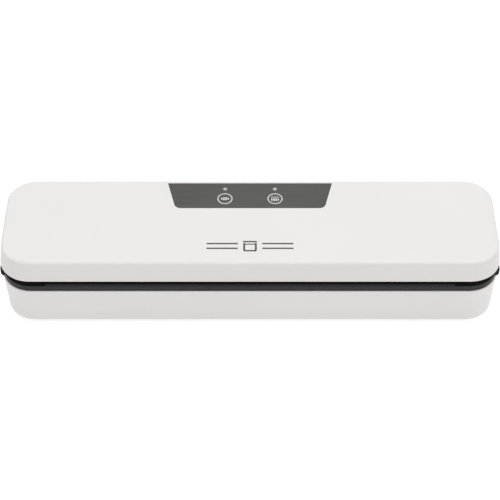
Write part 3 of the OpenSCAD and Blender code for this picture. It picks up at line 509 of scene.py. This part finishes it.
def latch_spring(side_name):
    """Wound compression spring with closer end turns, spanning the length of its node's box."""
    node = side_name + "_latch_spring"
    low, high = (Vector(v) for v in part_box(node))
    outward = 1 if low.x > 0 else -1
    fixed = low.x if outward > 0 else high.x
    middle, wire = (low + high) / 2, SPRING_WIRE / 2
    coil, length = (high.z - low.z) / 2 - wire, high.x - low.x
    open_pitch = (length - SPRING_WIRE - 2 * SPRING_END_PITCH) / (SPRING_TURNS - 2)
    rings = []
    for i in range(SPRING_TURNS * SPRING_STEPS + 1):
        turn = i / SPRING_STEPS
        inner = min(max(turn - 1, 0), SPRING_TURNS - 2)
        along = wire + SPRING_END_PITCH * (turn - inner) + open_pitch * inner
        angle, ring = 2 * math.pi * turn, []
        for j in range(SPRING_SIDES):
            b = 2 * math.pi * j / SPRING_SIDES
            reach = coil + wire * math.cos(b)
            ring.append(Vector((fixed + outward * (along + wire * math.sin(b)),
                                middle.y + reach * math.cos(angle),
                                middle.z + reach * math.sin(angle))))
        rings.append(ring)
    name, slot = node + "_coil", CAD_SLOTS[node]
    piece = add_piece(name, swept(name, rings), "base", slot)
    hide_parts(node)
    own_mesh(piece)


# ---------- Printed marks ----------

def rounded_bar(x, y, length, width, steps=5):
    """Outline of a rounded bar centred on a point."""
    radius, points = min(length, width) / 2 * 0.98, []
    for quarter, (sx, sy) in enumerate(((1, 1), (-1, 1), (-1, -1), (1, -1))):
        for step in range(steps + 1):
            angle = math.pi / 2 * (quarter + step / steps)
            points.append((x + sx * (length / 2 - radius) + radius * math.cos(angle),
                           y + sy * (width / 2 - radius) + radius * math.sin(angle)))
    return points


def ring_shape(x, y, outer, inner, steps=72):
    """Outer and inner circles of a ring."""
    turn = [2 * math.pi * i / steps for i in range(steps)]
    return [[(x + r * math.cos(a), y + r * math.sin(a)) for a in turn] for r in (outer, inner)]


def print_marks(name, body, z, finish, bars=(), rings=()):
    """Ink as thin solids on a flat surface at height z in metres; shapes are in millimetres."""
    verts, faces = [], []
    low, high = z + INK_LIFT, z + INK_LIFT + INK_THICK
    for outline in bars:
        start, count = len(verts), len(outline)
        verts += [(x * MM, y * MM, level) for level in (low, high) for x, y in outline]
        above = start + count
        faces += [tuple(range(start, above))[::-1], tuple(range(above, above + count))]
        faces += [(start + i, start + (i + 1) % count, above + (i + 1) % count, above + i)
                  for i in range(count)]
    for outer, inner in rings:
        start, count = len(verts), len(outer)
        loops = ((outer, low), (outer, high), (inner, high), (inner, low))
        verts += [(x * MM, y * MM, level) for outline, level in loops for x, y in outline]
        for k in range(4):
            a, b = start + k * count, start + (k + 1) % 4 * count
            faces += [(a + i, a + (i + 1) % count, b + (i + 1) % count, b + i) for i in range(count)]
    return add_piece(name, mesh_of(name, verts, faces, smooth=False), body, finish)


def panel_marks():
    """Light rings round the keys, rows of bars on them and a bezel round each lamp."""
    panel_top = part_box("control_panel")[1][2]
    guides_low, guides_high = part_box("light_guides")
    lamp_y = (guides_low[1] + guides_high[1]) / 2 / MM
    rings, bezels = [], []
    for key, rows in KEY_ROWS.items():
        low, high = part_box(key)
        x, y = (low[0] + high[0]) / 2 / MM, (low[1] + high[1]) / 2 / MM
        rings.append(ring_shape(x, y, *KEY_RING))
        bezels.append(ring_shape(x, lamp_y, *LAMP_RING, 40))
        bars = []
        for offset, pitch, wide, heights in rows:
            for i, tall in enumerate(heights):
                place = x + (i - (len(heights) - 1) / 2) * pitch
                bars.append(rounded_bar(place, y + offset, wide, tall))
        print_marks(key + "_pictogram", key, high[2], "light_print", bars)
    print_marks("key_rings", "lid", panel_top, "light_print", rings=rings)
    print_marks("lamp_bezels", "lid", panel_top, "lamp_print", rings=bezels)


def lid_mark():
    """Generic mark on the lid: a bag pictogram with its sealed edge, between plain double rules."""
    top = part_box("lid_shell")[1][2]
    bars = [rounded_bar(side * 22, MARK_Y + dy, 25, 1.6) for side in (-1, 1) for dy in (2.6, -2.6)]
    bars += [rounded_bar(0, MARK_Y + 4.8, 11.4, 1.6), rounded_bar(0, MARK_Y + 2.0, 8.4, 1.2)]
    bars += [rounded_bar(0, MARK_Y - 5.2, 10, 1.6)]
    bars += [rounded_bar(side * 4.6, MARK_Y - 0.9, 1.6, 8.6) for side in (-1, 1)]
    print_marks("lid_pictogram", "lid", top, "dark_print", bars)


# ---------- Studio ----------

def add_floor():
    """Plain pale floor with a little light of its own, so that contact shadows stay faint."""
    corners = [(x * FLOOR_HALF, y * FLOOR_HALF, 0) for x, y in ((-1, -1), (1, -1), (1, 1), (-1, 1))]
    data = mesh_of("floor", corners, [(0, 1, 2, 3)])
    floor = bpy.data.objects.new("floor", data)
    material, shader, make, link = new_material("floor_white")
    tint = noise_at(make, link, position(make, link), 3)
    link(ramp(make, link, tint, (0.6, 0.6, 0.6), (0.62, 0.62, 0.62)), shader.inputs["Base Color"])
    shader.inputs["Roughness"].default_value = 0.9
    shader.inputs["Emission Color"].default_value = (1, 1, 1, 1)
    shader.inputs["Emission Strength"].default_value = FLOOR_GLOW
    data.materials.append(material)
    bpy.context.scene.collection.objects.link(floor)


def add_lights():
    """Even white surroundings and three soft boxes."""
    world = bpy.data.worlds.new("studio")
    world.use_nodes = True
    background = world.node_tree.nodes["Background"]
    background.inputs["Color"].default_value = (1, 1, 1, 1)
    background.inputs["Strength"].default_value = WORLD_GLOW
    bpy.context.scene.world = world
    for name, place, size, power in LIGHTS:
        light = bpy.data.lights.new(name, "AREA")
        light.shape = "RECTANGLE"
        light.size, light.size_y = size
        light.energy = power
        lamp = bpy.data.objects.new(name, light)
        lamp.location = place
        aim = LIGHT_AIM - Vector(place)
        lamp.rotation_euler = aim.to_track_quat("-Z", "Y").to_euler()
        bpy.context.scene.collection.objects.link(lamp)


def add_camera():
    """Long lens in front of the object, looking down at it."""
    lens = bpy.data.cameras.new("camera")
    lens.lens = CAMERA_LENS
    lens.sensor_width = SENSOR_WIDTH
    camera = bpy.data.objects.new("camera", lens)
    direction = Vector((0, -math.cos(CAMERA_ELEVATION), math.sin(CAMERA_ELEVATION)))
    camera.location = CAMERA_AIM + CAMERA_DISTANCE * direction
    camera.rotation_euler = (CAMERA_AIM - camera.location).to_track_quat("-Z", "Y").to_euler()
    bpy.context.scene.collection.objects.link(camera)
    bpy.context.scene.camera = camera
    bpy.context.scene.view_settings.view_transform = "Standard"


foam_gasket("lower_gasket_foam", "lower_gasket", "base", True)
foam_gasket("upper_gasket_foam", "upper_gasket", "lid", False)
press_strip()
seal_tape()
latch_spring("left")
latch_spring("right")
panel_marks()
lid_mark()
add_floor()
add_lights()
add_camera()
